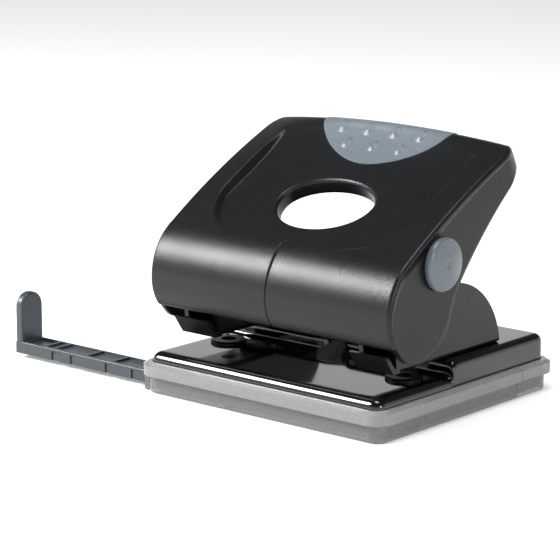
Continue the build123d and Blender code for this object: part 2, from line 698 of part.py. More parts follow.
# ---- the assembly -------------------------------------------------------------------------
def pieces():
    """Every piece under its own name."""
    right = {"bracket": bracket(), "die": die(), "axle_clip": axle_clip(), "cap": cap(),
             "punch_pin": punch_pin(), "pin_head": pin_head(), "return_spring": return_spring()}
    made = {
        "base_plate": base_plate(),
        "bracket_rivets": bracket_rivets(),
        "pivot_axle": pivot_axle(),
        "spring_seats": spring_seats(),
        "tray_rear_clip": tray_rear_clip(),
        "chip_tray": chip_tray(),
        "paper_guide": paper_guide(),
        "lever_cover": lever_cover(),
        "lever_frame": lever_frame(),
        "grip_pad": grip_pad(),
        "presser_bar": presser_bar(),
        "cover_screws": cover_screws(),
    }
    for name, shape in right.items():
        made[name + "_right"] = shape
        made[name + "_left"] = mirrored(shape)
    return made


os.makedirs("parts", exist_ok=True)
for node, shape in pieces().items():
    export_step(shape, f"parts/{node}.step")
print("spring self gap %.2f mm" % spring_self_gap())
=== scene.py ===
import math

import bpy
import numpy as np
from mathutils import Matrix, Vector


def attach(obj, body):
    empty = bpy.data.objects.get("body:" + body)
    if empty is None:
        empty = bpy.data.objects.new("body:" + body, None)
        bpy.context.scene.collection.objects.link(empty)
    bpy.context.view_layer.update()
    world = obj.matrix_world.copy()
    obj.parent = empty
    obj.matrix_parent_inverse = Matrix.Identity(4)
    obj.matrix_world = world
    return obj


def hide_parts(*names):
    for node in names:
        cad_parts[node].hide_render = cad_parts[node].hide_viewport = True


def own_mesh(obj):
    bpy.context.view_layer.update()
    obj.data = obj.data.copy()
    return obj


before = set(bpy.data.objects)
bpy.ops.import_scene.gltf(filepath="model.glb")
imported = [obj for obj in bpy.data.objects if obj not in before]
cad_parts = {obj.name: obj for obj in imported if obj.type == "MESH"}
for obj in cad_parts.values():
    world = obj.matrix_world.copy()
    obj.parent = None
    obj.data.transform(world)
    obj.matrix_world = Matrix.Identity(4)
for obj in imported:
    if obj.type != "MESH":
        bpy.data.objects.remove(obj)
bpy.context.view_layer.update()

# ---- moulded plastics -------------------------------------------------------------------
# Every plastic piece of the punch shows a fine spark-eroded grain from its mould. One group of
# nodes makes it from the piece's own coordinates: relief, speckled colour and uneven gloss.
MM = 0.001


def feed(tree, node, values):
    """Gives a node's inputs, by name or number, constants or other nodes' outputs."""
    for socket, value in values.items():
        if isinstance(value, bpy.types.NodeSocket):
            tree.links.new(value, node.inputs[socket])
        else:
            node.inputs[socket].default_value = value


def add_node(tree, kind, values=(), **settings):
    """A new shader node, with its settings made before its inputs are fed."""
    node = tree.nodes.new("ShaderNode" + kind)
    for setting, value in settings.items():
        setattr(node, setting, value)
    feed(tree, node, dict(values))
    return node


def new_material(name):
    """An empty material's tree of nodes and its shader, after the material itself."""
    material = bpy.data.materials.new(name)
    material.use_nodes = True
    return material, material.node_tree, material.node_tree.nodes["Principled BSDF"]


def grain_group():
    """Fine mould grain: two noises give a height, a speckled colour and a varying roughness."""
    group = bpy.data.node_groups.new("mould_grain", "ShaderNodeTree")
    for label, kind, value in (("Color", "NodeSocketColor", (0.02, 0.02, 0.02, 1)),
                               ("Speck", "NodeSocketFloat", 0.3),
                               ("Rough", "NodeSocketFloat", 0.5),
                               ("Size", "NodeSocketFloat", 0.4)):
        socket = group.interface.new_socket(label, in_out="INPUT", socket_type=kind)
        socket.default_value = value
    for label, kind in (("Color", "NodeSocketColor"), ("Roughness", "NodeSocketFloat"),
                        ("Height", "NodeSocketFloat")):
        group.interface.new_socket(label, in_out="OUTPUT", socket_type=kind)
    given, result = group.nodes.new("NodeGroupInput"), group.nodes.new("NodeGroupOutput")
    place = add_node(group, "TexCoord").outputs["Object"]
    per_metre = add_node(group, "Math", {0: 1 / MM, 1: given.outputs["Size"]}, operation="DIVIDE")
    fine = add_node(group, "TexNoise",
                    {"Vector": place, "Scale": per_metre.outputs[0], "Detail": 2.0}).outputs["Fac"]
    broad = add_node(group, "TexNoise",
                     {"Vector": place, "Scale": 45.0, "Detail": 3.0}).outputs["Fac"]
    spread = add_node(group, "MapRange", {"Value": fine, "From Min": 0.35, "From Max": 0.72})
    amount = add_node(group, "Math", {0: spread.outputs["Result"], 1: given.outputs["Speck"]},
                      operation="MULTIPLY")
    gain = add_node(group, "Math", {0: amount.outputs[0], 1: 2.0, 2: 0.7},
                    operation="MULTIPLY_ADD")
    tint = add_node(group, "VectorMath", {0: given.outputs["Color"], "Scale": gain.outputs[0]},
                    operation="SCALE")
    wander = add_node(group, "Math", {0: broad, 1: 0.14, 2: -0.07}, operation="MULTIPLY_ADD")
    rough = add_node(group, "Math", {0: wander.outputs[0], 1: given.outputs["Rough"]},
                     operation="ADD")
    feed(group, result, {"Color": tint.outputs[0], "Roughness": rough.outputs[0],
                         "Height": fine})
    return group


GRAIN = grain_group()


def plastic(name, color, rough, speck=0.3, size_mm=0.4, bump_mm=0.02, transmission=0.0,
            coat=0.0, shine=0.5):
    """Moulded plastic or lacquer in one colour with the shared grain."""
    material, tree, shader = new_material(name)
    grain = add_node(tree, "Group", {"Color": (*color, 1), "Speck": speck, "Rough": rough,
                                     "Size": size_mm}, node_tree=GRAIN)
    bump = add_node(tree, "Bump", {"Distance": bump_mm * MM, "Height": grain.outputs["Height"]})
    feed(tree, shader, {"Base Color": grain.outputs["Color"],
                        "Roughness": grain.outputs["Roughness"],
                        "Normal": bump.outputs["Normal"],
                        "Transmission Weight": transmission, "Coat Weight": coat,
                        "Specular IOR Level": shine})
    return material


def finish(node, material):
    """Gives a solid of the frame its material in every slot."""
    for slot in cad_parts[node].material_slots:
        slot.material = material


# ---- lever cover ------------------------------------------------------------------------
# The black moulded shell that the hand presses: a bulb on the axle, a long arched top dished
# between two crescents, a round rear end and flat side walls, with an egg-shaped finger opening.
cover_black = plastic("cover_black", (0.006, 0.0062, 0.007), 0.29, speck=0.9, size_mm=0.3,
                      bump_mm=0.055, shine=0.3)
DECK_TILT = math.radians(27.34)
DECK_START = np.array((-14.2, 61.1))      # y, z where the deck's own lengths begin
COVER_HALF = 54.0
EDGE_R = 1.3
ARCH = math.radians(3.5)                  # the middle of the cover is turned up by this
WALL = 2.4


def to_deck(y, z):
    """Lengths along and above the sloping deck, from y and z."""
    y, z = y - DECK_START[0], z - DECK_START[1]
    return (y * math.cos(DECK_TILT) + z * math.sin(DECK_TILT),
            z * math.cos(DECK_TILT) - y * math.sin(DECK_TILT))


def from_deck(x, along, height):
    """Points in millimetres from lengths across, along and above the deck."""
    y = DECK_START[0] + along * math.cos(DECK_TILT) - height * math.sin(DECK_TILT)
    z = DECK_START[1] + along * math.sin(DECK_TILT) + height * math.cos(DECK_TILT)
    return np.stack(np.broadcast_arrays(x, y, z), axis=-1)


# The side view's four arcs: centres as y and z, and the angles in degrees where they meet.
AXLE_YZ, END_YZ = (-9.0, 41.0), (44.2, 85.6)
AXLE, BULB_R = to_deck(*AXLE_YZ), 17.1
FRONT_AT, FRONT_R = to_deck(-4.1, 41.0), 22.0
END_AT, END_R = to_deck(*END_YZ), 4.8
BULB_FOOT, BULB_TO_FRONT, FRONT_TO_TOP, TOP_TO_END, END_FOOT = 217.0, 180.0, 118.7, 113.0, -55.0
CREST = (34.0, 1.3)                       # a place of the top arc: along and above the deck


def round_through(first, second, third):
    """Centre and radius of the circle through three points: it is as far from each of them."""
    points = np.array((first, second, third))
    rows = 2 * (points[1:] - points[0])
    centre = np.linalg.solve(rows, (points[1:] ** 2).sum(1) - (points[0] ** 2).sum())
    return tuple(centre), float(np.hypot(*(centre - points[0])))


def on_round(centre, radius, degrees):
    """A point of a circle, at an angle of the side view."""
    angle = math.radians(degrees) - DECK_TILT
    return centre[0] + radius * math.cos(angle), centre[1] + radius * math.sin(angle)


TOP_AT, TOP_R = round_through(on_round(FRONT_AT, FRONT_R, FRONT_TO_TOP), CREST,
                              on_round(END_AT, END_R, TOP_TO_END))
SPANS = (-34.5, -23.5, 0.0, 64.0, 78.0)   # s at the ends of the bulb, front, top and end arcs


def swing(centre, x):
    """A centre of the side view, turned about the axle by the arch at x; and that angle."""
    angle = ARCH * (1 - (x / COVER_HALF) ** 2)
    y, z = centre[0] - AXLE[0], centre[1] - AXLE[1]
    return (AXLE[0] + y * np.cos(angle) - z * np.sin(angle),
            AXLE[1] + y * np.sin(angle) + z * np.cos(angle), angle)


def top_limits(x):
    """Where the long top arc begins and ends along the deck, at x."""
    start, _, angle = swing(FRONT_AT, x)
    start = start + FRONT_R * np.cos(math.radians(FRONT_TO_TOP) - DECK_TILT + angle)
    end, _, angle = swing(END_AT, x)
    return start, end + END_R * np.cos(math.radians(TOP_TO_END) - DECK_TILT + angle)


def side_profile(x, s, inset):
    """Four arcs in a row: bulb, front, top, end. Each point is its centre plus (radius - inset)
    times (cos, sin) of an angle that runs evenly with s; on the top it runs with the length."""
    along, height = np.zeros_like(s), np.zeros_like(s)
    arcs = ((AXLE, BULB_R, BULB_FOOT, BULB_TO_FRONT, True),
            (FRONT_AT, FRONT_R, BULB_TO_FRONT, FRONT_TO_TOP, False),
            None, (END_AT, END_R, TOP_TO_END, END_FOOT, False))
    for low, high, arc in zip(SPANS[:-1], SPANS[1:], arcs):
        here = (s >= low) & (s <= high)
        part = (s[here] - low) / (high - low)
        if arc is None:
            start, end = top_limits(x[here])
            centre_a, centre_h, _ = swing(TOP_AT, x[here])
            angle = np.arccos((start + (end - start) * part - centre_a) / TOP_R)
            radius = TOP_R
        else:
            centre, radius, first, last, fixed_first = arc
            centre_a, centre_h, turned = swing(centre, x[here])
            first = math.radians(first) - DECK_TILT + (0 if fixed_first else turned)
            last = math.radians(last) - DECK_TILT + turned
            angle = first + (last - first) * part
        along[here] = centre_a + (radius - inset[here]) * np.cos(angle)
        height[here] = centre_h + (radius - inset[here]) * np.sin(angle)
    return along, height


# The dish between the two crescents: its outline from above and its floor from the side.
DISH_HALF, DISH_MIDDLE, DISH_REACH, DISH_FRONT_R, DISH_REAR_R = 43.5, 34.0, 37.2, 24.0, 8.0
FLOOR_ALONG = (-9, -3, 6, 20, 34, 47, 54, 59.5, 64, 74)
FLOOR_HEIGHT = (0.9, -0.5, -1, -1.3, -1, 0, 0.9, 2.2, 4.5, 11)
FLOOR = np.polyfit(FLOOR_ALONG, FLOOR_HEIGHT, 6)
DISH_WALL_START, DISH_WALL_RUN = 0.4, 2.4     # the wall falls from outside the outline inwards
DISH_FADE_END, DISH_FADE_RUN = 66.0, 6.0      # the dish runs out into the rear end
DISH_SOFT = 0.2


def panel_distance(x, along):
    """How far a point is outside the dish's outline: a box with wide rounds at its front."""
    corner = np.where(along < DISH_MIDDLE, DISH_FRONT_R, DISH_REAR_R)
    over_x = np.abs(x) - DISH_HALF + corner
    over_y = np.abs(along - DISH_MIDDLE) - DISH_REACH + corner
    return (np.hypot(np.maximum(over_x, 0), np.maximum(over_y, 0))
            + np.minimum(np.maximum(over_x, over_y), 0) - corner)


def smooth_step(value):
    """3t^2 - 2t^3 between 0 and 1."""
    value = np.clip(value, 0, 1)
    return value * value * (3 - 2 * value)


def dished(x, along, height, drop):
    """Height brought down to the dish's floor inside its outline, with a sloping rounded wall."""
    above = height + drop - np.polyval(FLOOR, along)
    above = (above + np.sqrt(above ** 2 + DISH_SOFT)) / 2
    wall = smooth_step((DISH_WALL_START - panel_distance(x, along)) / DISH_WALL_RUN)
    return height - wall * above * smooth_step((DISH_FADE_END - along) / DISH_FADE_RUN)


TUCK_START, TUCK_R = 57.6, 12.5
GROOVE_DEPTH, GROOVE_HALF, GROOVE_END, GROOVE_FADE = 0.5, 0.45, 2.5, 2


def tuck(x, along):
    """Draws x in at the rear corners: the half width falls on a quarter circle of 12.5 mm."""
    past = np.clip(along - TUCK_START, 0, 12.4)
    return x * (1 - (TUCK_R - np.sqrt(TUCK_R ** 2 - past ** 2)) / COVER_HALF)


def cover_skin(across, s, depth):
    """The cover's surface over its unwrapped rectangle, depth below the outside: x follows
    across up to the side edge's round, the rear corners draw in, and a groove runs down the
    middle of the bulb."""
    flat = COVER_HALF - EDGE_R
    bend = np.clip((np.abs(across) - flat) / EDGE_R, 0, math.pi / 2)
    x = np.sign(across) * (np.minimum(np.abs(across), flat) + EDGE_R * np.sin(bend))
    edge = EDGE_R * (1 - np.cos(bend))
    inset = np.where(depth > 0, np.maximum(edge, depth), edge + depth)
    x = x * (1 - depth / COVER_HALF * (np.abs(x) / COVER_HALF) ** 6)
    groove = (GROOVE_DEPTH * (1 - smooth_step(np.abs(across) / GROOVE_HALF))
              * smooth_step((GROOVE_END - s) / GROOVE_FADE))
    along, height = side_profile(x, s, inset + groove)
    height = dished(x, along, height, depth)
    return tuck(x, along), along, height


EGG_HALF, EGG_MIDDLE, EGG_REAR, EGG_FRONT = 19.6, 22.4, 12.2, 14.8
EGG_WALL, RIM_R, COLLAR_FOOT = 1.7, 1.6, -6.5


def egg_rim(angle, grow):
    """Two half ellipses that share their long axis across the deck: the front one is longer."""
    x = (EGG_HALF + grow) * np.cos(angle)
    reach = np.where(np.sin(angle) > 0, EGG_REAR, EGG_FRONT) + grow
    return x, EGG_MIDDLE + reach * np.sin(angle)


# The O-shaped net of the top: loops from the opening's rim to the dish's outline and on to the
# edges of the unwrapped rectangle, each with one point for each of these places on its border.
SIDE_N, END_N = 120, 110
REACH = COVER_HALF - EDGE_R + EDGE_R * math.pi / 2
NET_MIDDLE, NET_REACH = 23.0, 56.0        # s of the net's centre, and from there to its ends
edge_x = np.concatenate([np.linspace(-REACH, -1, END_N // 2),
                         (-0.6, -0.45, -0.3, -0.15, 0, 0.15, 0.3, 0.45, 0.6),
                         np.linspace(1, REACH, END_N // 2)])
end_columns = len(edge_x) - 1
side_s = np.linspace(SPANS[0], SPANS[-1], SIDE_N, endpoint=False)
side_s_back = np.linspace(SPANS[-1], SPANS[0], SIDE_N, endpoint=False)
turns = np.concatenate([np.stack([edge_x[:-1], np.full(end_columns, SPANS[0])], -1),
                        np.stack([np.full(SIDE_N, REACH), side_s], -1),
                        np.stack([edge_x[:0:-1], np.full(end_columns, SPANS[-1])], -1),
                        np.stack([np.full(SIDE_N, -REACH), side_s_back], -1)])
bearing = np.arctan2((turns[:, 1] - NET_MIDDLE) / NET_REACH, turns[:, 0] / REACH)


def along_to_s(x, along):
    """The net's s on the top arc for a length along the deck."""
    start, end = top_limits(x)
    return SPANS[2] + (along - start) / (end - start) * (SPANS[3] - SPANS[2])


rim_x, rim_along = egg_rim(bearing, RIM_R)
near, far = np.zeros(len(turns)), np.ones(len(turns))
for _ in range(30):                       # halving finds where each bearing meets the outline
    middle = (near + far) / 2
    outside = panel_distance(turns[:, 0] * middle,
                             EGG_MIDDLE + (turns[:, 1] - NET_MIDDLE) * middle) > 0
    near, far = np.where(outside, near, middle), np.where(outside, middle, far)
dish_x, dish_along = turns[:, 0] * near, EGG_MIDDLE + (turns[:, 1] - NET_MIDDLE) * near
rim = np.stack([rim_x, along_to_s(rim_x, rim_along)], -1)
dish_s = np.clip(along_to_s(dish_x, dish_along), SPANS[0] + 3, SPANS[-1] - 9)
dish = np.stack([dish_x, dish_s], -1)
inner_steps = np.concatenate([np.linspace(0, 0.86, 26, endpoint=False),
                              np.linspace(0.86, 1, 9, endpoint=False)])
outer_steps = np.concatenate([np.linspace(0, 0.16, 7, endpoint=False),
                              np.linspace(0.16, 0.8, 26, endpoint=False),
                              np.linspace(0.8, 1, 12)])
net = np.concatenate([rim + (dish - rim) * inner_steps[:, None, None],
                      dish + (turns - dish) * outer_steps[:, None, None]])

# The collar round the opening rises from its foot and rounds over on to the rim.
top = [cover_skin(net[..., 0], net[..., 1], depth) for depth in (0.0, WALL)]
rim_height = [top[layer][2][0] for layer in (0, 1)]
steps = np.linspace(0, 1, 6)[:, None]
bend = np.linspace(0, math.pi / 2, 8)[1:-1, None]
collar_top = rim_height[0] - RIM_R
tube_grow = np.concatenate([np.zeros((6, 1)), RIM_R - RIM_R * np.cos(bend)])
tube_height = np.concatenate([COLLAR_FOOT + (collar_top - COLLAR_FOOT) * steps,
                              collar_top + RIM_R * np.sin(bend)])
tube = [(*egg_rim(bearing, tube_grow), tube_height),
        (*egg_rim(bearing, np.full_like(tube_grow, EGG_WALL)),
         np.minimum(tube_height, rim_height[1]))]


def grid_faces(index):
    """Quads between neighbouring rows and columns of point numbers."""
    return np.stack([index[:-1, :-1], index[:-1, 1:], index[1:, 1:], index[1:, :-1]],
                    -1).reshape(-1, 4)


def ring_faces(rows, columns):
    """Quads between neighbouring closed loops of points."""
    index = np.arange(rows * columns).reshape(rows, columns)
    return grid_faces(np.hstack([index, index[:, :1]]))


def arc_through(first, second, third, count):
    """Points of the side view along the circle through three of them."""
    centre, radius = round_through(first, second, third)
    angles = np.unwrap([math.atan2(z - centre[1], y - centre[0])
                        for y, z in (first, second, third)])
    swept = np.linspace(angles[0], angles[2], count)
    return np.stack([centre[0] + radius * np.cos(swept), centre[1] + radius * np.sin(swept)], -1)


def side_curve(count):
    """The lower edge of a side wall: under the bulb, round its rear and up the back."""
    degrees = np.radians(np.linspace(BULB_FOOT, 342.5, 60))
    bulb = np.stack([AXLE_YZ[0] + BULB_R * np.cos(degrees),
                     AXLE_YZ[1] + BULB_R * np.sin(degrees)], -1)
    back_start, back_middle = (13.6, 49.4), (30.8, 68.1)
    back_end = (END_YZ[0] + END_R * math.cos(math.radians(END_FOOT)),
                END_YZ[1] + END_R * math.sin(math.radians(END_FOOT)))
    line = np.concatenate([bulb, arc_through(bulb[-1], (9.4, 42.4), back_start, 14)[1:],
                           arc_through(back_start, back_middle, back_end, 40)[1:]])
    length = np.concatenate([[0], np.cumsum(np.hypot(*np.diff(line, axis=0).T))])
    even = np.linspace(0, length[-1], count)
    return to_deck(np.interp(even, length, line[:, 0]), np.interp(even, length, line[:, 1]))


# The flat side walls hang from the net's two long borders down to the side curve.
WALL_ROWS = 15
columns = net.shape[1]
faces = [ring_faces(tube_height.shape[0] + net.shape[0], columns)]
shells = [np.concatenate([from_deck(*tube[layer]), from_deck(*top[layer])]).reshape(-1, 3)
          for layer in (0, 1)]
low_along, low_height = side_curve(SIDE_N + 1)
down = np.linspace(0, 1, WALL_ROWS)[:, None]
ease = smooth_step(np.minimum(np.linspace(0, 1, SIDE_N + 1), np.linspace(1, 0, SIDE_N + 1)) / 0.08)
for side in (1, -1):
    first = end_columns if side > 0 else 2 * end_columns + SIDE_N
    order = (first + np.arange(SIDE_N + 1)) % columns
    order = order if side > 0 else order[::-1]
    start = len(shells[0])
    for layer, depth in enumerate((0.0, WALL)):
        upper_along, upper_height = (top[layer][k][-1][order] for k in (1, 2))
        outer_along, outer_height = (top[0][k][-1][order] for k in (1, 2))
        lower_along = outer_along + (low_along - outer_along) * ease
        lower_height = outer_height + (low_height - outer_height) * ease
        along = upper_along + (lower_along - upper_along) * down
        height = upper_height + (lower_height - upper_height) * down
        x = tuck(np.full_like(along, side * (COVER_HALF - depth)), along)
        shells[layer] = np.concatenate([shells[layer], from_deck(x, along, height).reshape(-1, 3)])
    index = start + np.arange(WALL_ROWS * (SIDE_N + 1)).reshape(WALL_ROWS, -1)
    quads = np.roll(grid_faces(index)[:, ::-1], 1, axis=1)
    faces.append(quads if side > 0 else quads[:, ::-1])


def walled(outer, inner, faces):
    """A shell with a wall: equal points are made one, and a lip of quads joins the outside's
    free edges to the inside's."""
    _, first, same = np.unique(np.round(outer, 3), axis=0, return_index=True, return_inverse=True)
    faces = same.reshape(-1)[faces]
    outer, inner = outer[first], inner[first]
    edges = np.stack([faces, np.roll(faces, -1, axis=1)], -1).reshape(-1, 2)
    edges = edges[edges[:, 0] != edges[:, 1]]
    _, back, count = np.unique(np.sort(edges, axis=1), axis=0, return_index=True,
                               return_counts=True)
    free = edges[back[count == 1]]
    lip = np.stack([free[:, 1], free[:, 0], free[:, 0] + len(outer), free[:, 1] + len(outer)], -1)
    return (np.concatenate([outer, inner]),
            np.concatenate([faces, faces[:, ::-1] + len(outer), lip]))


def piece_from(name, points, faces, material, body, slot):
    """A smooth piece from points in millimetres and quads; folded quads become triangles."""
    mesh = bpy.data.meshes.new(name)
    folded = faces == np.roll(faces, -1, axis=1)
    once = folded.sum(axis=1) == 1
    corners = faces[once][~folded[once]].reshape(-1, 3)
    mesh.from_pydata((points * MM).tolist(), [],
                     faces[~folded.any(axis=1)].tolist() + corners.tolist())
    mesh.polygons.foreach_set("use_smooth", np.ones(len(mesh.polygons), bool))
    mesh.materials.append(material)
    mesh.update()
    piece = bpy.data.objects.new(name, mesh)
    bpy.context.scene.collection.objects.link(piece)
    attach(piece, body)
    return piece


cover = piece_from("cover_shell", *walled(*shells, np.concatenate(faces)), cover_black,
                   "lever", "cover_black")
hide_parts("lever_cover")

# ---- grip pad ------------------------------------------------------------------------------
# Soft blue-grey insert, moulded on to the lever's end and round its edge, with rows of raised
# drops that keep the fingers from slipping.
pad_grey = plastic("pad_grey", (0.15, 0.178, 0.205), 0.38, speck=0.15, size_mm=0.4,
                   bump_mm=0.012)
PAD_START, PAD_RUN, PAD_HALF_WIDTH = 44.4, 25.5, 30.6
PAD_PROUD, PAD_BEDDED, PAD_EDGE = 0.35, 0.9, 1.1
DROPS = np.array([(-12, 53.2), (0, 53.2), (12, 53.2),
                  (-17.5, 60.0), (-5.9, 60.0), (5.9, 60.0), (17.5, 60.0)])   # across, along
DROP_RISE, DROP_HALF_WIDTH, DROP_REACH = 0.75, 2.1, 2.9


def pad_half_width(along):
    """Half the pad's width at a length along the deck: 30.6 mm times a root of a sine."""
    part = np.clip((along - PAD_START) / 26.0, 0, 1)
    return PAD_HALF_WIDTH * np.sin(part * math.pi / 2) ** 0.56


def drops(x, along):
    """Height of the raised drops: round in front and drawn to a point behind."""
    off_x, off_y = x[..., None] - DROPS[:, 0], along[..., None] - DROPS[:, 1]
    wide = DROP_HALF_WIDTH * (1 - 0.3 * np.clip(off_y / 2.8, -1, 1))
    inside = 1 - np.hypot(off_x / wide, off_y / DROP_REACH)
    return DROP_RISE * smooth_step(1.7 * inside).max(axis=-1)


run = np.linspace(0, 1, 130)[:, None]
share = np.linspace(-1, 1, 121)[None, :]
pad_along = PAD_START + PAD_RUN * run ** 1.5
pad_x = pad_half_width(pad_along) * np.sin(share * math.pi / 2)
pad_s = along_to_s(pad_x, pad_along)
past_start = pad_along - PAD_START
rim_gap = pad_half_width(pad_along) - np.abs(pad_x) + 0.35 * past_start
proud = PAD_PROUD * smooth_step(np.minimum(rim_gap, PAD_RUN - past_start) / PAD_EDGE) - 0.05
pad_layers = [cover_skin(pad_x, pad_s, -proud - drops(pad_x, pad_along)),
              cover_skin(pad_x, pad_s, np.full_like(pad_x, PAD_BEDDED))]
pad_faces = grid_faces(np.arange(pad_x.size).reshape(pad_x.shape))
pad = piece_from("pad_skin",
                 *walled(*[from_deck(*layer).reshape(-1, 3) for layer in pad_layers], pad_faces),
                 pad_grey, "lever", "pad_grey")
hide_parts("grip_pad")

# ---- caps --------------------------------------------------------------------------------
# Hard turned-looking caps, pressed on the ends of the presser bar: domed, with a small dimple
# left by the mould's gate.
cap_grey = plastic("cap_grey", (0.17, 0.198, 0.23), 0.2, speck=0.08, size_mm=0.5, bump_mm=0.006)
BAR_AT = (1.3, 56.4)                      # y, z of the presser bar
CAP_FACE, CAP_FLAT_R, CAP_ROUND = 57.9, 8.0, 1.3


def turned_x(name, profile, centre, material, body, slot, sides=96):
    """A profile of (x, radius) carried round an axis along X: y, z = centre + radius (cos, sin)."""
    angle = np.linspace(0, 2 * math.pi, sides, endpoint=False)[None, :]
    x = np.repeat(profile[:, :1], sides, axis=1)
    points = np.stack([x, centre[0] + profile[:, 1:] * np.cos(angle),
                       centre[1] + profile[:, 1:] * np.sin(angle)], -1).reshape(-1, 3)
    _, first, same = np.unique(np.round(points, 4), axis=0, return_index=True,
                               return_inverse=True)
    return piece_from(name, points[first], same.reshape(-1)[ring_faces(len(profile), sides)],
                      material, body, slot)


radius = np.concatenate([np.linspace(0, 1.5, 8), np.linspace(1.9, CAP_FLAT_R, 16)])
dome = (CAP_FACE - 1.1 * (radius / CAP_FLAT_R) ** 2
        - 0.55 * smooth_step((1.7 - radius) / 1.2))
round_edge = np.linspace(0, math.pi / 2, 9)[1:]
cap_profile = np.concatenate([
    np.stack([dome, radius], -1),
    np.stack([dome[-1] - CAP_ROUND + CAP_ROUND * np.cos(round_edge),
              CAP_FLAT_R + CAP_ROUND * np.sin(round_edge)], -1),
    [(54.5, 9.3), (54.25, 9.1), (54.2, 8.6), (54.2, 0.0)]])
for side, sign in (("left", -1), ("right", 1)):
    profile = cap_profile * (sign, 1)
    cap = turned_x("cap_dome_" + side, profile if sign < 0 else profile[::-1], BAR_AT, cap_grey,
                   "lever", "cap_grey")
    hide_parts("cap_" + side)

# ---- base plate and brackets --------------------------------------------------------------
# Pressed sheet steel under a deep gloss black lacquer, and the folded brackets in satin black.
# The plate is drawn flat, as loops inside its outline, and the loops are then pressed.
plate_black = plastic("plate_black", (0.004, 0.004, 0.0045), 0.09, speck=0.05, size_mm=3.0,
                      bump_mm=0.003, coat=0.5)
bracket_black = plastic("bracket_black", (0.007, 0.007, 0.008), 0.3, speck=0.2, size_mm=0.8,
                        bump_mm=0.01, shine=0.4)
for side in ("left", "right"):
    finish("bracket_" + side, bracket_black)
PLATE_HALF, PLATE_HALF_DEPTH, PLATE_FRONT, PLATE_REAR = 52.2, 47.8, -29.1, 66.6
SHEET, FOOT = 1.5, 7.4
TABLE_Z, PLATFORM_Z = 14.8, 20.4
FRONT_ROUND, REAR_ROUND, PLAN_CORNER = 3.4, 2.8, 3.7
HOLE_X, HOLE_R = 40.0, 5.6
STOP_LINE = np.array([                    # y, z of the top: table, stop and platform
    (PLATE_FRONT, TABLE_Z), (10.9, TABLE_Z),
    *[(10.9 + 1.1 * math.sin(t), 15.9 - 1.1 * math.cos(t)) for t in np.linspace(0.2, 1.5, 6)],
    *[(14.2 - 2.2 * math.cos(t), 18.2 + 2.2 * math.sin(t)) for t in np.linspace(0, 1.5, 8)],
    (14.6, PLATFORM_Z), (PLATE_REAR, PLATFORM_Z)])
STOP_RUN = np.concatenate([[0], np.cumsum(np.hypot(*np.diff(STOP_LINE, axis=0).T))])


def pressed(x, run, gap, low, inset):
    """The pan over its flattened outline: y and the top's height follow the line of table, stop
    and platform; near the outline the top falls on a quarter circle, then straight to the foot."""
    radius = np.interp(run, (40, 50), (FRONT_ROUND, REAR_ROUND))
    y = np.interp(run, STOP_RUN, STOP_LINE[:, 0])
    top = np.interp(run, STOP_RUN, STOP_LINE[:, 1])
    part = np.clip(gap / radius, 0, 1)
    height = top - radius * (1 - np.sqrt(1 - (1 - part) ** 2))
    height = height + (FOOT - height) * low - inset * (1 - low)
    middle = (PLATE_FRONT + PLATE_REAR) / 2
    return np.stack([x * (1 - inset / PLATE_HALF),
                     middle + (y - middle) * (1 - inset / PLATE_HALF_DEPTH), height], -1)


def outline_loop(gap, count):
    """A rounded rectangle, gap inside the pan's flattened outline, its corners 3.7 mm less the
    gap."""
    half_x, half_y = PLATE_HALF - gap, STOP_RUN[-1] / 2 - gap
    corner = max(PLAN_CORNER - gap, 0.4)
    turn = np.linspace(0, math.pi / 2, 9)
    corners = [np.stack([sx * (half_x - corner) + corner * np.cos(turn + start),
                         sy * (half_y - corner) + corner * np.sin(turn + start)], -1)
               for sx, sy, start in ((1, 1, 0), (-1, 1, math.pi / 2), (-1, -1, math.pi),
                                     (1, -1, 3 * math.pi / 2))]
    pieces = []
    for here, after in zip(corners, corners[1:] + corners[:1]):
        along_side = np.linspace(0, 1, count)[1:-1, None]
        pieces += [here, here[-1] + (after[0] - here[-1]) * along_side]
    return np.concatenate(pieces)


# Loops from the foot to the outline, over the round, and shrinking on to a slot in the middle.
SIDE_POINTS, WALL_LOOPS, FLAT_GAP, SLOT = 120, 5, 9.0, (0.12, 0.45)
round_gaps = FRONT_ROUND * (1 - np.cos(np.linspace(0, math.pi / 2, 9)))
loop_gap = [0.0] * WALL_LOOPS + [*round_gaps, 4.5, 6.0]
loops = [outline_loop(gap, SIDE_POINTS) for gap in loop_gap]
fall = [1, 0.75, 0.5, 0.25] + [0] * (len(loops) - 4)
last_loop = loops[-1]
for share in np.linspace(0.03, 1, 46):
    loops.append(last_loop * (1 - share) + share * last_loop * SLOT)
loops.append(0 * last_loop)
inner_loops = len(loops) - len(loop_gap)
plan = np.stack(loops)
fall = np.array(fall + [0] * inner_loops)[:, None]
loop_gap = np.array(loop_gap + [FLAT_GAP] * inner_loops)[:, None]
plan_run = plan[..., 1] + STOP_RUN[-1] / 2
pan_layers = [pressed(plan[..., 0], plan_run, loop_gap, fall, inset).reshape(-1, 3)
              for inset in (0.0, SHEET)]
pan_faces = ring_faces(*plan.shape[:2])
middles = pan_layers[0][pan_faces].mean(axis=1)
# The holes that hold the dies; the dies' flanges cover their stepped edges.
die_holes = np.hypot(np.abs(middles[:, 0]) - HOLE_X, middles[:, 1]) < HOLE_R
pan = piece_from("pressed_pan", *walled(*pan_layers, pan_faces[~die_holes]), plate_black,
                 "base", "black_gloss_plate")
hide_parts("base_plate")

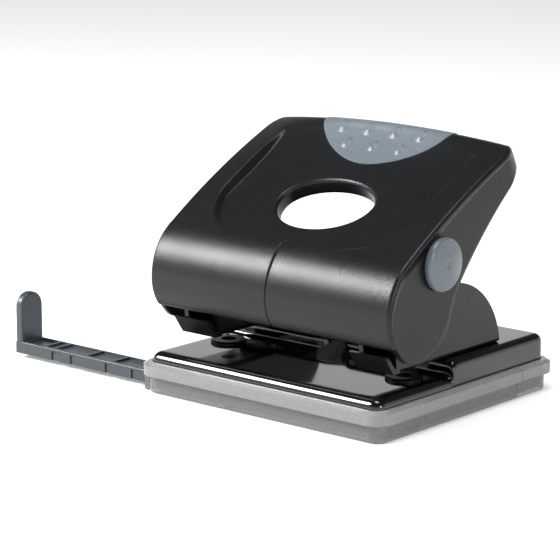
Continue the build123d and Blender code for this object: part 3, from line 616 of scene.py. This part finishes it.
# ---- tray -------------------------------------------------------------------------------
# Translucent smoke-grey pan clipped round the plate's foot, and the slate-grey paper guide.
# The pan's colour goes by height: its rim is painted lighter and its walls darker, a painted
# highlight on the rim and painted shade on the walls.
tray_smoke = plastic("tray_smoke", (0.70, 0.695, 0.70), 0.16, speck=0.04, size_mm=1.0,
                     bump_mm=0.004, transmission=0.6)
guide_slate = plastic("guide_slate", (0.045, 0.056, 0.066), 0.35, speck=0.2, size_mm=0.5,
                      bump_mm=0.01)
tray_tree = tray_smoke.node_tree
tray_place = add_node(tray_tree, "TexCoord").outputs["Object"]
tray_height = add_node(tray_tree, "SeparateXYZ", {0: tray_place}).outputs["Z"]
# Painted highlight and shade: above 6.8 mm the tray is painted light grey, below 6.2 mm a darker
# grey.
rim_highlight_part = add_node(tray_tree, "MapRange",
                    {"Value": tray_height, "From Min": 6.2 * MM, "From Max": 6.8 * MM})
painted_rim_highlight = add_node(tray_tree, "Mix",
                    {"Factor": rim_highlight_part.outputs["Result"], "A": (0.42, 0.41, 0.415, 1),
                     "B": (0.68, 0.68, 0.69, 1)}, data_type="RGBA")
# The painted rim highlight and wall shade take the place of the tray's grain colour.
for node in tray_tree.nodes:
    if node.type == "GROUP":
        feed(tray_tree, node, {"Color": painted_rim_highlight.outputs["Result"]})
finish("chip_tray", tray_smoke)
finish("tray_rear_clip", tray_smoke)
finish("paper_guide", guide_slate)

# ---- steel parts --------------------------------------------------------------------------
# Zinc-plated axle, clips, rivets, screws, bar and seats, ground pins and heads, and blackened
# dies and lever frame.


def steel(name, color, rough, brush_mm=0.5, stretch=(1, 1, 1)):
    """Bare or plated steel: fine drawn or ground marks in its colour, roughness and relief."""
    material, tree, shader = new_material(name)
    place = add_node(tree, "TexCoord").outputs["Object"]
    mapping = add_node(tree, "Mapping", {"Vector": place, "Scale": stretch})
    marks = add_node(tree, "TexNoise", {"Vector": mapping.outputs["Vector"],
                                        "Scale": 1 / MM / brush_mm, "Detail": 3.0}).outputs["Fac"]
    rough_range = add_node(tree, "MapRange",
                           {"Value": marks, "To Min": rough - 0.08, "To Max": rough + 0.12})
    tint = add_node(tree, "Mix", {"Factor": marks, "A": (*[0.82 * part for part in color], 1),
                                  "B": (*color, 1)}, data_type="RGBA")
    bump = add_node(tree, "Bump", {"Distance": 0.004 * MM, "Height": marks})
    feed(tree, shader, {"Metallic": 1.0, "Base Color": tint.outputs["Result"],
                        "Roughness": rough_range.outputs["Result"],
                        "Normal": bump.outputs["Normal"]})
    return material


zinc_steel = steel("zinc_steel", (0.62, 0.63, 0.64), 0.3, stretch=(0.15, 1, 1))
hard_steel = steel("hard_steel", (0.55, 0.55, 0.56), 0.2, stretch=(1, 1, 0.15))
black_steel = steel("black_steel", (0.02, 0.02, 0.022), 0.4)
for node in ("pivot_axle", "axle_clip_left", "axle_clip_right", "bracket_rivets",
             "cover_screws", "presser_bar", "spring_seats"):
    finish(node, zinc_steel)
for side in ("left", "right"):
    finish("punch_pin_" + side, hard_steel)
    finish("pin_head_" + side, hard_steel)
    finish("die_" + side, black_steel)
finish("lever_frame", black_steel)

# ---- return springs -----------------------------------------------------------------------
# Wound from bright spring wire, one closer turn at each end; they stand round the pins and are
# pressed shorter by the pins' heads.
spring_wire = steel("spring_wire", (0.6, 0.6, 0.6), 0.22, brush_mm=0.3)
COIL_R, WIRE_R, WIRE_SIDES, STEPS_A_TURN = 4.2, 0.54, 12, 40
COIL_TURNS, COIL_RISE = (0, 1, 7, 8), (23.6, 25.35, 48.05, 49.8)


def coil(centre_x):
    """A helix of wire: centre line (R cos a, R sin a, h(a)), with a circle across it. The turns
    rise 1.75 mm at both ends and evenly between."""
    turn = np.linspace(0, COIL_TURNS[-1], COIL_TURNS[-1] * STEPS_A_TURN + 1)
    angle = 2 * math.pi * turn
    line = np.stack([centre_x + COIL_R * np.cos(angle), COIL_R * np.sin(angle),
                     np.interp(turn, COIL_TURNS, COIL_RISE)], -1)
    ahead = np.gradient(line, axis=0)
    ahead /= np.linalg.norm(ahead, axis=1, keepdims=True)
    out = np.stack([np.cos(angle), np.sin(angle), 0 * angle], -1)
    up = np.cross(ahead, out)
    around = np.linspace(0, 2 * math.pi, WIRE_SIDES, endpoint=False)[None, :, None]
    points = line[:, None, :] + WIRE_R * (out[:, None, :] * np.cos(around)
                                          + up[:, None, :] * np.sin(around))
    points = np.concatenate([np.repeat(line[:1, None], WIRE_SIDES, axis=1), points,
                             np.repeat(line[-1:, None], WIRE_SIDES, axis=1)])
    flat = points.reshape(-1, 3)
    _, first, same = np.unique(np.round(flat, 4), axis=0, return_index=True, return_inverse=True)
    return flat[first], same.reshape(-1)[ring_faces(len(points), WIRE_SIDES)][:, ::-1]


for side, sign in (("left", -1), ("right", 1)):
    spring = piece_from("spring_" + side, *coil(40.0 * sign), spring_wire, "base", "spring_steel")
    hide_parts("return_spring_" + side)
    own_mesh(spring)

# ---- camera, light and floor ----------------------------------------------------------------
# A long lens from the front left at the photograph's angle, a floor and a sky that look white,
# the sky dark overhead where gloss would show it, and three soft boxes.
YAW = math.radians(40.653)
PITCH = math.radians(12.572)
camera_data = bpy.data.cameras.new("camera")
camera_data.lens = 161.4
camera_data.sensor_width = 36.0
camera_data.clip_end = 20.0
camera = bpy.data.objects.new("camera", camera_data)
camera.location = (0.5474, -0.6556, 0.2338)
back = Vector((math.sin(YAW) * math.cos(PITCH), -math.cos(YAW) * math.cos(PITCH), math.sin(PITCH)))
camera.rotation_euler = back.to_track_quat("Z", "Y").to_euler()
bpy.context.scene.collection.objects.link(camera)
bpy.context.scene.camera = camera


def seen_directly(tree):
    """1 for rays that show a background: from the camera, off gloss and through clear plastic."""
    rays = add_node(tree, "LightPath").outputs
    first = add_node(tree, "Math", {0: rays["Is Camera Ray"], 1: rays["Is Glossy Ray"]},
                     operation="MAXIMUM")
    both = add_node(tree, "Math", {0: first.outputs[0], 1: rays["Is Transmission Ray"]},
                    operation="MAXIMUM")
    return both.outputs[0]


world = bpy.data.worlds.new("world")
world.use_nodes = True
bpy.context.scene.world = world
sky = world.node_tree
upright = add_node(sky, "SeparateXYZ", {0: add_node(sky, "TexCoord").outputs["Generated"]})
overhead = add_node(sky, "MapRange", {"Value": upright.outputs["Z"], "From Min": 0.16,
                                      "From Max": 0.5, "To Min": 1.0, "To Max": 0.08},
                    interpolation_type="SMOOTHSTEP")
level = add_node(sky, "Mix", {"Factor": seen_directly(sky), "A": 0.4,
                              "B": overhead.outputs["Result"]})
# The camera itself sees white everywhere.
plain = add_node(sky, "Math", {0: level.outputs["Result"],
                               1: add_node(sky, "LightPath").outputs["Is Camera Ray"]},
                 operation="MAXIMUM")
feed(sky, sky.nodes["Background"], {"Color": (1, 1, 1, 1), "Strength": plain.outputs[0]})

floor_mesh = bpy.data.meshes.new("floor")
floor_mesh.from_pydata([(-3, -3, 0), (3, -3, 0), (3, 3, 0), (-3, 3, 0)], [], [(0, 1, 2, 3)])
floor = bpy.data.objects.new("floor", floor_mesh)
bpy.context.scene.collection.objects.link(floor)
floor_white, floor_tree, floor_shader = new_material("floor_white")
glow = add_node(floor_tree, "Math", {0: seen_directly(floor_tree), 1: 0.3}, operation="MULTIPLY")
feed(floor_tree, floor_shader, {"Base Color": (0.88, 0.88, 0.88, 1), "Roughness": 0.9,
                                "Specular IOR Level": 0.0, "Emission Color": (1, 1, 1, 1),
                                "Emission Strength": glow.outputs[0]})
floor_mesh.materials.append(floor_white)


def soft_box(name, place, target, size, watts):
    """A square area light aimed at a point."""
    data = bpy.data.lights.new(name, "AREA")
    data.size = size
    data.energy = watts
    lamp = bpy.data.objects.new(name, data)
    lamp.location = place
    lamp.rotation_euler = (Vector(place) - Vector(target)).to_track_quat("Z", "Y").to_euler()
    bpy.context.scene.collection.objects.link(lamp)


soft_box("key", (-0.64, -0.56, 0.56), (0, 0, 0.05), 0.34, 14)
soft_box("top", (0.15, -0.1, 1.0), (0, 0, 0.04), 0.5, 5)
soft_box("side", (0.95, -0.1, 0.35), (0, 0, 0.05), 0.3, 2.5)

bpy.context.scene.view_settings.view_transform = "Standard"
